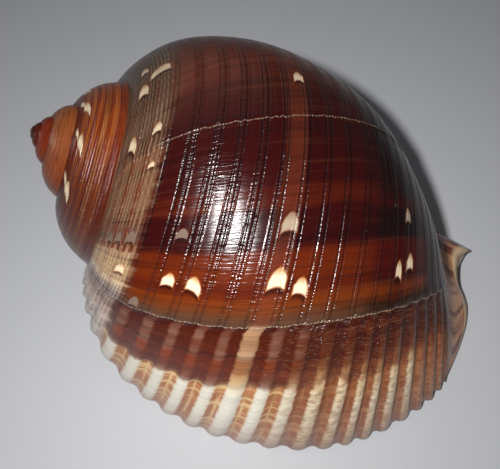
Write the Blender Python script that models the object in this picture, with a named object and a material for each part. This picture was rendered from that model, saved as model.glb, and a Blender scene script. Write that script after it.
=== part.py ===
"""A tun shell: one thin, open, spirally ribbed sea-snail shell resting on its mouth.

World frame: metres, +Z up, z = 0 is the surface that the shell lies on.
The spire points to -X, the siphonal end to +X, and the free lip faces -Y.
The wall is a section that turns about the shell's axis while it grows, so every
surface is S(u, turn): u runs down the section from the suture (0) to the siphonal
end (1), and turn is 0 at the lip and negative before it. The skins are lofted in code,
because no modelling tool sweeps a section that grows and leans at once.
"""
import math

import bmesh
import bpy
import numpy as np
from mathutils import Matrix, Vector

MM = 0.001

# Section of the body whorl at the lip, from the suture to the siphonal end, at even
# steps of u: distance along the axis from the apex, and radius, in mm
LIP_SECTION = (
    (23.0, 24.7),
    (25.0, 32.0),
    (33.4, 42.6),
    (46.6, 49.6),
    (61.0, 52.8),
    (76.9, 52.3),
    (96.1, 46.9),
    (112.7, 33.9),
    (118.3, 24.9),
)
# The shell grows by this factor in one turn, a little less so in the spire
GROWTH_PER_TURN = 2.059
SPIRE_SLOWING = 0.026
SPIRE_SHORTENING = 0.02
TURNS = 4.9

# A growth line's lead or lag in radians, as a polynomial of u - 0.5
GROWTH_LINE = (-0.993, -0.269, -2.023, 5.073)
# Direction of the middle of the lip, about the axis
LIP_TURN_ANGLE = math.radians(181.8)

# Middles of the grooves between the spiral ribs, in v, which is u where the ribs run straight
GROOVES = (
    0.065, 0.105, 0.145, 0.185, 0.230, 0.290, 0.344, 0.393, 0.442, 0.492, 0.540,
    0.590, 0.633, 0.674, 0.707, 0.732, 0.757, 0.786, 0.816, 0.843, 0.875, 0.910,
)
# After the last growth scar the ribs start a little nearer the suture, and then spread
DRIFT_START = -0.16
DRIFT_BACK = -0.012
DRIFT_PER_TURN = 0.045
DRIFT_SPREAD = 0.40
# How far from a groove's middle a rib's flat top starts, as a share of the rib
RIB_EDGE_SHARE = 0.2
RIB_HEIGHT_BODY = 0.45 * MM
RIB_HEIGHT_LIP = 1.1 * MM
# Ribs rise to their lip height over this part of the last turn
RIB_RISE_START = -0.20
RIB_RISE_END = -0.12
# Ribs and their drift fade out this close to the suture and to the siphonal end, in v
PLAIN_SUTURE_BAND = 0.04
PLAIN_END_BAND = 0.015
DRIFT_SUTURE_BAND = 0.15
DRIFT_END_BAND = 0.09

WALL = 1.6 * MM
LIP_WALL = 1.3 * MM

# Free edge of the siphonal neck, all the way round: first the inner lip, from the body
# whorl's base to the siphonal tip, then the notch, back to the outer lip's end. Share of
# the way, distance along the axis (mm), radius (mm) and angle (degrees)
NECK_EDGE = (
    (0.03, 66.0, 12.6, -115),
    (0.06, 76.0, 12.6, -105),
    (0.10, 85.5, 12.2, -93),
    (0.16, 94.0, 11.8, -78),
    (0.22, 101.0, 11.4, -60),
    (0.32, 107.0, 10.8, -33),
    (0.45, 111.7, 9.8, 0),
    (0.57, 107.8, 7.8, 35),
    (0.67, 108.6, 5.4, 65),
    (0.80, 112.2, 4.2, 115),
    (0.87, 114.6, 6.6, 145),
    (0.92, 114.6, 10.8, 150),
    (0.96, 113.4, 16.8, 152),
)
SIPHON_TIP_SHARE = 0.45
NECK_ROWS = 4
NECK_HOLLOW = 0.8 * MM
# The way from the notch's outer corner to its inner one, in the shell's axes, in mm, and
# the share of the neck over which it turns into the outer wall's own
NOTCH_WALL = (-0.3, -0.3, -1.3)
NOTCH_TURN_SHARE = 0.1
# Inner face of the columella and the canal's floor deep inside, from the base of the
# whorl before to the outer wall, at the lip's own size: along the axis and radius, mm
COLUMELLA = (
    (67.0, 10.2),
    (78.0, 8.4),
    (88.0, 7.6),
    (96.0, 8.0),
    (102.0, 9.2),
    (106.0, 11.0),
    (108.6, 12.8),
    (110.2, 14.6),
    (111.6, 16.4),
    (112.6, 18.2),
    (113.4, 20.0),
    (114.0, 21.8),
)

# Mesh steps
STEPS_PER_TURN = 40
SPIRE_ROWS = 8
CAVITY_STEPS = 26
CAVITY_ROWS = 12
PARIETAL_ROWS = 7
CANAL_BLEND_STEPS = 10
# The inner wall's rows, from its own suture on, lie closer together near it
INNER_SUTURE = 0.045
INNER_ROW_POWER = 1.3
# Share of the last whorl over which its columns lean over to follow the growth lines
LEAN_SHARE = 0.7
APEX_CROWN = 0.3 * MM
SHARP_ANGLE = math.radians(50)

# How the shell lies: world up along the shell's own axes, and where the apex comes to.
# It is sunk by about half a millimetre, and cut flat there
REST_UP = (-0.3856, 0.3791, 0.8412)
POLE = (-53.33 * MM, 7.8 * MM, 44.68 * MM)

SHELL_COLOUR = (0.18, 0.055, 0.025, 1.0)
SHELL_ROUGHNESS = 0.25


def spline_through(values):
    """A natural cubic curve through values at even steps of 0..1."""
    values = np.array(values)
    count = len(values)
    step = 1.0 / (count - 1)
    system = np.eye(count)
    right = np.zeros(count)
    for i in range(1, count - 1):
        system[i, i - 1 : i + 2] = (1, 4, 1)
        right[i] = 6 * (values[i - 1] - 2 * values[i] + values[i + 1]) / step**2
    bend = np.linalg.solve(system, right)

    def curve(u):
        i = min(int(u / step), count - 2)
        after = u - i * step
        before = step - after
        return (
            (bend[i] * before**3 + bend[i + 1] * after**3) / (6 * step)
            + (values[i] / step - bend[i] * step / 6) * before
            + (values[i + 1] / step - bend[i + 1] * step / 6) * after
        )

    return curve


axial_at = spline_through([x * MM for x, _ in LIP_SECTION])
radius_at = spline_through([r * MM for _, r in LIP_SECTION])


def smooth(value):
    value = min(max(value, 0.0), 1.0)
    return value * value * (3 - 2 * value)


def growth_line(u):
    w = u - 0.5
    a, b, c, d = GROWTH_LINE
    return w * (a + w * (b + w * (c + w * d)))


def growth(turn):
    return math.exp(math.log(GROWTH_PER_TURN) * turn + 0.5 * SPIRE_SLOWING * turn * turn)


def about_axis(axial, radius, angle):
    """A point in the shell's own axes: along the axis, and across it."""
    return Vector((axial, radius * math.cos(angle), radius * math.sin(angle)))


def drifted(v, turn):
    """u of the point whose rib coordinate is v; turn is counted along the growth lines."""
    if turn < DRIFT_START:
        return v
    shift = DRIFT_BACK + (DRIFT_PER_TURN + DRIFT_SPREAD * (v - 0.25)) * (turn - DRIFT_START)
    return v + shift * smooth(v / DRIFT_SUTURE_BAND) * smooth((1 - v) / DRIFT_END_BAND)


def rib_height(v, turn):
    """How far the ribs stand out at v; turn is counted along the growth lines."""
    number = float(np.interp(v, GROOVES, range(len(GROOVES))))
    on_rib = abs(number - round(number)) > RIB_EDGE_SHARE / 2
    rise = smooth((turn - RIB_RISE_START) / (RIB_RISE_END - RIB_RISE_START))
    height = RIB_HEIGHT_BODY * growth(turn) + (RIB_HEIGHT_LIP - RIB_HEIGHT_BODY) * rise
    height *= smooth(v / PLAIN_SUTURE_BAND) * smooth((1 - v) / PLAIN_END_BAND)
    return height / 2 if on_rib else -height / 2


def section_normal(u):
    """Outward direction of the section at u, as (along the axis, radius)."""
    low = max(u - 0.01, 0.0)
    high = min(u + 0.01, 1.0)
    along = axial_at(high) - axial_at(low)
    out = radius_at(high) - radius_at(low)
    length = math.hypot(along, out)
    return -out / length, along / length


def wall_point(u, turn, depth=0.0):
    """Outer surface at u, or depth below it; turn is counted round the axis."""
    size = growth(turn)
    along, across = section_normal(u)
    axial = axial_at(u) * size * (1 + SPIRE_SHORTENING * turn) - along * depth
    radius = radius_at(u) * size - across * depth
    return about_axis(axial, radius, LIP_TURN_ANGLE + turn * math.tau)


def rib_rows():
    """Values of v at the suture, at each groove and at both edges of each rib."""
    rows = [0.0]
    for low, high in zip(GROOVES, GROOVES[1:]):
        edge = RIB_EDGE_SHARE * (high - low)
        rows += [low, low + edge, high - edge]
    return rows + [GROOVES[-1], 1.0]


def weld_row(rows):
    """The row of the section that the next whorl's suture lies on."""
    suture = Vector((axial_at(0), radius_at(0)))

    def gap(i):
        size = growth(-1)
        shorter = 1 - SPIRE_SHORTENING
        return (Vector((axial_at(rows[i]) * size * shorter, radius_at(rows[i]) * size)) - suture).length

    return min(range(len(rows)), key=gap)


ROWS = rib_rows()
WELD = weld_row(ROWS)
MOUTH_ROWS = [INNER_SUTURE] + ROWS[1::3]
INNER_ROWS = [
    INNER_SUTURE + (1 - INNER_SUTURE) * float(t) ** INNER_ROW_POWER for t in np.linspace(0, 1, CAVITY_ROWS)
]
COLUMELLA_SHARES = [(k + 1) / (len(COLUMELLA) + 1) for k in range(len(COLUMELLA))]
SUTURE_TURN = growth_line(0) / math.tau
COLUMNS = round(TURNS * STEPS_PER_TURN)
BODY_START = COLUMNS - STEPS_PER_TURN


def column_turn(column, u):
    """Turn of a column at u: columns of the last whorl lean over to become growth lines."""
    turn = SUTURE_TURN + (column - COLUMNS) / STEPS_PER_TURN
    lean = smooth((column - BODY_START) / (LEAN_SHARE * STEPS_PER_TURN))
    return turn + lean * (growth_line(u) - growth_line(0)) / math.tau


def ribbed_point(v, column):
    """A point of the last whorl's outer surface, on a rib or in a groove."""
    u = drifted(v, (column - COLUMNS) / STEPS_PER_TURN)
    turn = column_turn(column, u)
    return wall_point(u, turn, -rib_height(v, turn - growth_line(u) / math.tau))


def zip_strip(bm, left, right, left_at, right_at):
    """Triangles between two rows of vertices, stepping along whichever is behind."""
    i = 0
    k = 0
    while i < len(left) - 1 or k < len(right) - 1:
        step_left = k == len(right) - 1 or (i < len(left) - 1 and left_at[i + 1] <= right_at[k + 1])
        if step_left:
            corners = (left[i], left[i + 1], right[k])
            i += 1
        else:
            corners = (left[i], right[k + 1], right[k])
            k += 1
        if len(set(corners)) == 3:
            bm.faces.new(corners)


def fan(bm, centre, ring):
    """Triangles from a new vertex at centre to each side of a closed ring."""
    hub = bm.verts.new(centre)
    for i, vertex in enumerate(ring):
        bm.faces.new((hub, vertex, ring[i - 1]))


def outer_columns(bm):
    """Vertices of the outer surface, column by column, and the u of each of them."""
    spire = list(np.linspace(0, ROWS[WELD], SPIRE_ROWS))
    columns = []
    for column in range(COLUMNS + 1):
        body = column >= BODY_START
        rows = ROWS if body else spire
        vertices = []
        for i, u in enumerate(rows):
            if i == 0 and column >= STEPS_PER_TURN:
                older, older_rows = columns[column - STEPS_PER_TURN]
                vertices.append(older[older_rows.index(ROWS[WELD])])
            elif body:
                vertices.append(bm.verts.new(ribbed_point(u, column)))
            else:
                vertices.append(bm.verts.new(wall_point(u, column_turn(column, u))))
        columns.append((vertices, list(rows)))
    return columns


def section_end(turn):
    """Distance along the axis, radius and angle of the section's siphonal end."""
    size = growth(turn)
    along = axial_at(1.0) * size * (1 + SPIRE_SHORTENING * turn)
    return along, radius_at(1.0) * size, LIP_TURN_ANGLE + turn * math.tau


def neck_edge(share):
    """Distance along the axis, radius and angle of the neck's free edge."""
    points = [(part, x * MM, r * MM, math.radians(degrees)) for part, x, r, degrees in NECK_EDGE]
    points.insert(0, (0.0, *section_end(SUTURE_TURN - 1)))
    points.append((1.0, *section_end(column_turn(COLUMNS, 1.0))))
    shares, *ways = zip(*points)
    return [float(np.interp(share, shares, way)) for way in ways]


def neck_columns(bm, columns):
    """Vertices from each column's end down the neck of the siphonal canal to its edge."""
    neck = []
    for column in range(BODY_START, COLUMNS + 1):
        share = (column - BODY_START) / STEPS_PER_TURN
        ring = columns[column][0][-1]
        if column in (BODY_START, COLUMNS):
            neck.append([ring] * (NECK_ROWS + 1))
            continue
        ring_radius = math.hypot(ring.co.y, ring.co.z)
        ring_angle = LIP_TURN_ANGLE + column_turn(column, 1.0) * math.tau
        axial, radius, angle = neck_edge(share)
        vertices = [ring]
        for row in range(1, NECK_ROWS + 1):
            down = row / NECK_ROWS
            hollow = NECK_HOLLOW * math.sin(math.pi * down)
            between = about_axis(
                ring.co.x + down * (axial - ring.co.x),
                ring_radius + down * (radius - ring_radius) - hollow,
                ring_angle + down * (angle - ring_angle),
            )
            vertices.append(bm.verts.new(between))
        neck.append(vertices)
    return neck


def mouth_neck_point(share):
    """The neck's edge as the inside meets it: past the siphonal tip, the notch's inner corner."""
    edge = about_axis(*neck_edge(share))
    if share < SIPHON_TIP_SHARE:
        return edge
    end_along, end_across = section_normal(1.0)
    end_angle = LIP_TURN_ANGLE + growth_line(1.0)
    outer_wall = about_axis(end_along, end_across, end_angle) * -LIP_WALL
    return edge + outer_wall.lerp(Vector(NOTCH_WALL) * MM, min((1 - share) / NOTCH_TURN_SHARE, 1.0))


def cavity_point_rows(step):
    """The points of one ring down the inside, from the suture round the columella and back."""
    column = COLUMNS - step
    near_turn = SUTURE_TURN - step / STEPS_PER_TURN
    far_turn = column_turn(column, 1.0)
    inside = 1 - (1 - min(step / CANAL_BLEND_STEPS, 1.0)) ** 2
    depth = LIP_WALL + (WALL - LIP_WALL) * inside
    points = [wall_point(u, near_turn - 1) for u in np.linspace(ROWS[WELD + 1], 1, PARIETAL_ROWS)]
    for share, (axial, radius) in zip(COLUMELLA_SHARES, COLUMELLA):
        turn = near_turn + share * (far_turn - near_turn)
        size = growth(turn)
        deep = about_axis(axial * MM * size, radius * MM * size, LIP_TURN_ANGLE + turn * math.tau)
        points.append(mouth_neck_point(share).lerp(deep, inside))
    for u in reversed(INNER_ROWS):
        points.append(wall_point(u, column_turn(column, u), depth))
    return points


def mouth_ring(bm, columns, neck):
    """The first ring of the inside, which shares the parietal wall's and inner lip's vertices."""
    body, body_rows = columns[BODY_START]
    tip = round(SIPHON_TIP_SHARE * STEPS_PER_TURN)
    ring = body[WELD + 1 :] + [column[-1] for column in neck[1:tip]]
    notch = range(tip + 1, STEPS_PER_TURN)
    ring += [bm.verts.new(mouth_neck_point(column / STEPS_PER_TURN)) for column in notch]
    for u in [drifted(v, 0.0) for v in reversed(MOUTH_ROWS)]:
        ring.append(bm.verts.new(wall_point(u, column_turn(COLUMNS, u), LIP_WALL)))
    at = body_rows[WELD + 1 :] + [1 + column / STEPS_PER_TURN for column in range(1, tip)]
    at += [1 + column / STEPS_PER_TURN for column in notch]
    at += [4 - v for v in reversed(MOUTH_ROWS)]
    return ring, at


def cavity_loops(bm, columns, neck):
    """Closed rings of vertices down the inside, the first one at the mouth."""
    loops = [mouth_ring(bm, columns, neck)]
    at = list(np.linspace(ROWS[WELD + 1], 1, PARIETAL_ROWS))
    at += [1 + share for share in COLUMELLA_SHARES]
    at += [4 - u for u in reversed(INNER_ROWS)]
    for step in range(1, CAVITY_STEPS + 1):
        loops.append(([bm.verts.new(point) for point in cavity_point_rows(step)], at))
    return [(ring + ring[:1], values + [4.0]) for ring, values in loops]


def close_rim(bm, columns, neck, mouth):
    """The wall's edge round the mouth, from the suture to the siphonal tip."""
    tip = round(SIPHON_TIP_SHARE * STEPS_PER_TURN)
    outer = columns[COLUMNS][0] + [column[-1] for column in reversed(neck[tip:-1])]
    outer_at = ROWS + [2 - column / STEPS_PER_TURN for column in range(STEPS_PER_TURN - 1, tip - 1, -1)]
    notch_count = STEPS_PER_TURN - 1 - tip
    inner_count = len(MOUTH_ROWS) + notch_count
    inner = mouth[-1:] + mouth[-1 - inner_count : -1][::-1] + [neck[tip - 1][-1]]
    inner_at = [0.0] + MOUTH_ROWS + outer_at[len(ROWS) :]
    zip_strip(bm, outer, inner, outer_at, inner_at)


def build_shell():
    """The whole shell as one closed surface, in its own axes."""
    bm = bmesh.new()
    columns = outer_columns(bm)
    for (left, left_rows), (right, right_rows) in zip(columns, columns[1:]):
        end = WELD + 1 if len(left) < len(right) else len(right)
        zip_strip(bm, left, right[:end], left_rows, right_rows[:end])
    start = columns[0][0] + [columns[i][0][0] for i in range(STEPS_PER_TURN - 1, 0, -1)]
    middle = sum((vertex.co for vertex in start), Vector()) / len(start)
    fan(bm, middle - Vector((APEX_CROWN, 0, 0)), start)
    neck = neck_columns(bm, columns)
    neck_at = list(range(NECK_ROWS + 1))
    for left, right in zip(neck, neck[1:]):
        zip_strip(bm, left, right, neck_at, neck_at)
    loops = cavity_loops(bm, columns, neck)
    for (left, left_at), (right, right_at) in zip(loops, loops[1:]):
        zip_strip(bm, left, right, left_at, right_at)
    close_rim(bm, columns, neck, loops[0][0])
    last = loops[-1][0][:-1]
    fan(bm, sum((vertex.co for vertex in last), Vector()) / len(last), last)
    bmesh.ops.recalc_face_normals(bm, faces=bm.faces)
    return bm


def rest_matrix():
    """From the shell's own axes to the world, lying on its mouth."""
    up = Vector(REST_UP).normalized()
    forward = Vector((1, 0, 0))
    forward = (forward - up * forward.dot(up)).normalized()
    turned = Matrix((forward, up.cross(forward), up)).to_4x4()
    return Matrix.Translation(POLE) @ turned


def wear_flat(bm):
    """Cuts the lowest points flat at z = 0, where the shell touches what it lies on."""
    everything = bm.verts[:] + bm.edges[:] + bm.faces[:]
    cut = bmesh.ops.bisect_plane(bm, geom=everything, plane_co=(0, 0, 0), plane_no=(0, 0, 1), clear_inner=True)
    edges = [item for item in cut["geom_cut"] if isinstance(item, bmesh.types.BMEdge)]
    bmesh.ops.edgeloop_fill(bm, edges=edges)


def shell_material():
    material = bpy.data.materials.new("shell")
    material.use_nodes = True
    shader = material.node_tree.nodes["Principled BSDF"]
    shader.inputs["Base Color"].default_value = SHELL_COLOUR
    shader.inputs["Roughness"].default_value = SHELL_ROUGHNESS
    shader.inputs["Metallic"].default_value = 0.0
    return material


def main():
    for obj in list(bpy.data.objects):
        bpy.data.objects.remove(obj)
    collection = bpy.data.collections.new("tun shell")
    bpy.context.scene.collection.children.link(collection)
    bm = build_shell()
    bm.transform(rest_matrix())
    wear_flat(bm)
    mesh = bpy.data.meshes.new("shell")
    bm.to_mesh(mesh)
    bm.free()
    mesh.shade_smooth()
    mesh.set_sharp_from_angle(angle=SHARP_ANGLE)
    mesh.materials.append(shell_material())
    collection.objects.link(bpy.data.objects.new("shell", mesh))


main()
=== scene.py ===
"""A tun shell, dressed: the finely ribbed skin, its growth marks and its colours.

Metres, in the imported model's frame. The skin is the same growing section as the solid's,
with more rows: u runs from the suture (0) to the siphonal end (1), v is the u that a point of
a rib has before the ribs drift apart, and g is the growth line's turn, 0 at the lip and
negative before it.
"""
import math

import bmesh
import bpy
import numpy as np
from mathutils import Matrix, Vector


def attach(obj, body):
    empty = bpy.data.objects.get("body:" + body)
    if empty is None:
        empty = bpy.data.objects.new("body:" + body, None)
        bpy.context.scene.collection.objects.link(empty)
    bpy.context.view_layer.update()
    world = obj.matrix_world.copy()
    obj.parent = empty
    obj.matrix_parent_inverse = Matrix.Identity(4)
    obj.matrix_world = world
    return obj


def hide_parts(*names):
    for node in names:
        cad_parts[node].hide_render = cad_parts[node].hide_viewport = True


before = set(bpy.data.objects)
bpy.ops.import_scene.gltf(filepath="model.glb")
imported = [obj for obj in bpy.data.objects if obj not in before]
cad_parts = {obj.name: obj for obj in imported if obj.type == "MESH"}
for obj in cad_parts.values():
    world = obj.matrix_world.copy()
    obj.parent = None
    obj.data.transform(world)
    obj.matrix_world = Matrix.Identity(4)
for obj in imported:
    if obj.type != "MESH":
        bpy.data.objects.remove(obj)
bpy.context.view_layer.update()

MM = 0.001

# The section at the lip and how it grows, as in the solid
LIP_SECTION = (
    (23.0, 24.7), (25.0, 32.0), (33.4, 42.6), (46.6, 49.6), (61.0, 52.8), (76.9, 52.3),
    (96.1, 46.9), (112.7, 33.9), (118.3, 24.9),
)
GROWTH_PER_TURN = 2.059
SPIRE_SLOWING = 0.026
SPIRE_SHORTENING = 0.02
TURNS = 5.9
GROWTH_LINE = (-0.993, -0.269, -2.023, 5.073)
LIP_TURN_ANGLE = math.radians(181.8)
WALL = 1.6 * MM
LIP_WALL = 1.2 * MM
NECK_EDGE = (
    (0.03, 66.0, 12.6, -115), (0.06, 76.0, 12.6, -105), (0.10, 85.5, 12.2, -93),
    (0.16, 94.0, 11.8, -78), (0.22, 101.0, 11.4, -60), (0.32, 107.0, 10.8, -33),
    (0.45, 111.7, 9.8, 0), (0.57, 107.8, 7.8, 35), (0.67, 108.6, 5.4, 65),
    (0.80, 112.2, 4.2, 115), (0.87, 114.6, 6.6, 145), (0.92, 114.6, 10.8, 150),
    (0.96, 113.4, 16.8, 152),
)
SIPHON_TIP_SHARE = 0.45
NECK_HOLLOW = 0.8 * MM
NOTCH_WALL = (-0.3, -0.3, -1.3)
NOTCH_TURN_SHARE = 0.1
COLUMELLA = (
    (67.0, 10.2), (78.0, 8.4), (88.0, 7.6), (96.0, 8.0), (102.0, 9.2), (106.0, 11.0),
    (108.6, 12.8), (110.2, 14.6), (111.6, 16.4), (112.6, 18.2), (113.4, 20.0), (114.0, 21.8),
)
REST_UP = (-0.3856, 0.3791, 0.8412)
POLE = (-53.33 * MM, 7.8 * MM, 44.68 * MM)

# Relief

# Middles of the grooves between the spiral ribs, in v
GROOVES = (
    0.065, 0.105, 0.145, 0.185, 0.230, 0.290, 0.344, 0.393, 0.442, 0.492, 0.540,
    0.590, 0.633, 0.674, 0.707, 0.732, 0.757, 0.786, 0.816, 0.843, 0.875, 0.910,
)
# After the last growth scar the ribs start a little nearer the suture and then spread
DRIFT_START = -0.16
DRIFT_BACK = -0.012
DRIFT_PER_TURN = 0.045
DRIFT_SPREAD = 0.40
# Where rows lie on each rib, from one groove's middle (0) to the next (1)
RIB_ROWS = (0, 0.07, 0.14, 0.21, 0.30, 0.50, 0.70, 0.79, 0.86, 0.93)
END_ROWS = 8
# Each groove is a pair of fine lines, this far from its middle, until the ribs rise
LINE_OFF = 0.28
LINE_WIDTH = 0.13
LINE_DEPTH = 0.13 * MM
RIB_HEIGHT_LIP = 1.0 * MM
RIB_RISE_START = -0.185
RIB_RISE_END = -0.09
SCARS = (-0.159, -0.3235)
SCAR_HEIGHT = (0.45 * MM, 0.22 * MM)
SCAR_RISE = 0.006
SCAR_FALL = 0.012
# Before this growth turn the skin is plain
RELIEF_START = -1.3

# Pale spots: v and g of the middle, half sizes in v and g, slant (g for each v), and how grey
SPOTS = (
    (0.525, -0.3700, 0.014, 0.0080, 0.00, 0.1),
    (0.523, -0.2370, 0.018, 0.0085, 0.00, 0.7),
    (0.523, -0.1965, 0.019, 0.0090, 0.00, 0.0),
    (0.571, -0.1890, 0.015, 0.0075, 0.10, 0.0),
    (0.315, -0.1940, 0.014, 0.0065, 0.00, 0.0),
    (0.367, -0.1915, 0.017, 0.0070, 0.20, 0.0),
    (0.315, -0.2330, 0.014, 0.0050, 0.00, 1.0),
    (0.201, -0.1960, 0.015, 0.0065, 0.00, 0.1),
    (0.747, -0.1915, 0.007, 0.0085, 0.30, 0.2),
    (0.770, -0.1970, 0.008, 0.0080, 0.00, 0.1),
    (0.763, -0.2380, 0.007, 0.0075, 0.00, 0.6),
    (0.130, -0.4340, 0.022, 0.0130, 0.30, 0.2),
    (0.186, -0.4420, 0.034, 0.0100, 0.15, 0.4),
    (0.133, -0.4800, 0.017, 0.0090, 0.40, 0.4),
    (0.124, -0.3520, 0.020, 0.0120, 0.50, 0.2),
    (0.200, -0.3470, 0.012, 0.0070, 0.00, 0.3),
    (0.205, -0.3050, 0.009, 0.0040, 0.00, 0.2),
    (0.204, -0.2310, 0.015, 0.0070, 0.00, 1.0),
    (0.168, -0.2310, 0.011, 0.0065, 0.00, 1.0),
    (0.138, -0.2320, 0.011, 0.0060, 0.10, 1.0),
    (0.262, -0.1670, 0.012, 0.0055, 0.00, 1.0),
)
# Flames by the suture of the whorl before, in the same terms
FLAMES = (
    (0.170, -1.585, 0.020, 0.020, 0.6, 0.3),
    (0.165, -1.535, 0.030, 0.024, 0.6, 0.1),
    (0.120, -1.470, 0.030, 0.018, 0.8, 0.1),
    (0.165, -1.425, 0.030, 0.024, 0.8, 0.0),
    (0.115, -1.365, 0.028, 0.014, 0.8, 0.0),
    (0.170, -1.320, 0.026, 0.024, 0.8, 0.0),
    (0.110, -1.245, 0.040, 0.014, 0.7, 0.1),
    (0.168, -1.205, 0.028, 0.022, 0.7, 0.0),
)
# On the sides that the photo hides, spots are scattered at about the same spacing
HIDDEN_SPOTS = 26
HIDDEN_SEED = 7
HIDDEN_RANGE = (-0.98, -0.54)
HIDDEN_WIDTH = 0.36
HIDDEN_HALF = (0.006, 0.009)
HIDDEN_GREY = 0.6
# A corner this many half sizes from every spot is on none
SPOT_REACH = 3.0
NO_SPOT = 9.0

# Mesh steps
STEPS_PER_TURN = 240
SPIRE_ROWS = 20
NECK_ROWS = 10
CAVITY_STRIDE = 3
CAVITY_LOOPS = 52
PARIETAL_ROWS = 24
CANAL_BLEND_LOOPS = 20
INNER_SUTURE = 0.045
APEX_CROWN = 0.3 * MM
# v's span over the neck, its value at the neck's free edge, and the way round a ring inside
NECK_SPAN = 0.3
NECK_END = 1 + NECK_SPAN
ALL_ROUND = 4.0

OUTSIDE, INSIDE = 0, 1


def spline_through(values):
    """A natural cubic curve through values at even steps of 0..1, for arrays of u."""
    values = np.array(values)
    count = len(values)
    step = 1.0 / (count - 1)
    system = np.eye(count)
    right = np.zeros(count)
    for i in range(1, count - 1):
        system[i, i - 1 : i + 2] = (1, 4, 1)
        right[i] = 6 * (values[i - 1] - 2 * values[i] + values[i + 1]) / step**2
    bend = np.linalg.solve(system, right)

    def curve(u):
        u = np.asarray(u, float)
        i = np.clip((u / step).astype(int), 0, count - 2)
        after = u - i * step
        before = step - after
        return (
            (bend[i] * before**3 + bend[i + 1] * after**3) / (6 * step)
            + (values[i] / step - bend[i] * step / 6) * before
            + (values[i + 1] / step - bend[i + 1] * step / 6) * after
        )

    return curve


axial_at = spline_through([x * MM for x, _ in LIP_SECTION])
radius_at = spline_through([r * MM for _, r in LIP_SECTION])


def smooth(value):
    value = np.clip(value, 0.0, 1.0)
    return value * value * (3 - 2 * value)


def growth_line(u):
    w = np.asarray(u, float) - 0.5
    a, b, c, d = GROWTH_LINE
    return w * (a + w * (b + w * (c + w * d)))


def growth(turn):
    turn = np.asarray(turn, float)
    return np.exp(math.log(GROWTH_PER_TURN) * turn + 0.5 * SPIRE_SLOWING * turn * turn)


def about_axis(axial, radius, angle):
    return np.stack(np.broadcast_arrays(axial, radius * np.cos(angle), radius * np.sin(angle)), -1)


def rib_number(v):
    """Counts grooves: whole at each groove's middle, and a half more on each rib's."""
    v = np.asarray(v, float)
    inside = np.interp(v, GROOVES, np.arange(len(GROOVES)))
    before = np.minimum(v - GROOVES[0], 0.0) / (GROOVES[1] - GROOVES[0])
    after = np.maximum(v - GROOVES[-1], 0.0) / (GROOVES[-1] - GROOVES[-2])
    return inside + before + after


def drifted(v, g):
    """u of the point whose rib coordinate is v, on the growth line g."""
    on = smooth((g - DRIFT_START) / 0.004)
    gone = np.maximum(g - DRIFT_START, 0.0)
    shift = DRIFT_BACK * on + (DRIFT_PER_TURN + DRIFT_SPREAD * (v - 0.25)) * gone
    return v + shift * smooth(v / 0.15) * smooth((1 - v) / 0.09)


def relief(v, g):
    """Height of the ribs and growth scars over the plain section, in metres."""
    number = rib_number(v)
    off = np.abs((number + 0.5) % 1.0 - 0.5) * 2
    rounded = smooth((off - 0.10) / 0.75)
    rise = smooth((g - RIB_RISE_START) / (RIB_RISE_END - RIB_RISE_START))
    size = growth(g)
    by_shoulder = 0.35 + 0.65 * smooth((number - 2.5) / 2)
    by_canal = 1 - 0.4 * smooth((number - 12) / 3)
    share = by_shoulder * by_canal
    grooved = -LINE_DEPTH * size * share * np.exp(-(((off - LINE_OFF) / LINE_WIDTH) ** 2))
    ribbed = RIB_HEIGHT_LIP * (rounded - 0.5)
    height = grooved + (ribbed - grooved) * rise
    height = height * smooth(v / 0.07) * smooth((0.97 - v) / 0.05) * (g > RELIEF_START)
    for scar, tall in zip(SCARS, SCAR_HEIGHT):
        before = np.where(g <= scar, np.exp(np.minimum(g - scar, 0) / SCAR_RISE), 0.0)
        after = np.where(g > scar, np.exp(-np.maximum(g - scar, 0) / SCAR_FALL), 0.0)
        height = height + tall * (before - 0.5 * after) * smooth(v / 0.1)
    return height


def section_normal(u):
    low = np.maximum(np.asarray(u, float) - 0.01, 0.0)
    high = np.minimum(np.asarray(u, float) + 0.01, 1.0)
    along = axial_at(high) - axial_at(low)
    out = radius_at(high) - radius_at(low)
    length = np.hypot(along, out)
    return -out / length, along / length


def wall_points(v, turn, depth=0.0, relief_share=0.0, g=None):
    """Points of the wall; g is given where the rows follow the drifting ribs."""
    v = np.asarray(v, float)
    turn = np.asarray(turn, float)
    u = v if g is None else drifted(v, g)
    size = growth(turn)
    out = -depth
    if np.any(relief_share):
        out = out + relief_share * relief(v, g)
    along, across = section_normal(u)
    axial = axial_at(u) * size * (1 + SPIRE_SHORTENING * turn) + along * out
    radius = radius_at(u) * size + across * out
    return about_axis(axial, radius, LIP_TURN_ANGLE + turn * math.tau)


def rib_rows():
    rows = list(np.linspace(0, GROOVES[0], END_ROWS)[:-1])
    for low, high in zip(GROOVES, GROOVES[1:]):
        rows += [low + (high - low) * part for part in RIB_ROWS]
    return np.array(rows + list(np.linspace(GROOVES[-1], 1, END_ROWS)))


def weld_row(rows):
    size = growth(-1)
    gap = np.hypot(
        axial_at(rows) * size * (1 - SPIRE_SHORTENING) - axial_at(0.0),
        radius_at(rows) * size - radius_at(0.0),
    )
    return int(gap.argmin())


ROWS = rib_rows()
WELD = weld_row(ROWS)
SUTURE_TURN = float(growth_line(0.0)) / math.tau
COLUMNS = round(TURNS * STEPS_PER_TURN)
BODY_START = COLUMNS - STEPS_PER_TURN


def column_place(column, v):
    """Turn, growth turn and u of a column's rows; later columns lean to become growth lines."""
    g_end = (column - COLUMNS) / STEPS_PER_TURN
    u = drifted(v, g_end)
    lean = smooth((column - BODY_START) / (0.7 * STEPS_PER_TURN))
    turn = SUTURE_TURN + g_end + lean * (growth_line(u) - growth_line(0.0)) / math.tau
    return turn, turn - growth_line(u) / math.tau, u


def column_end_turn(column):
    return float(column_place(column, 1.0)[0])


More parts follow.
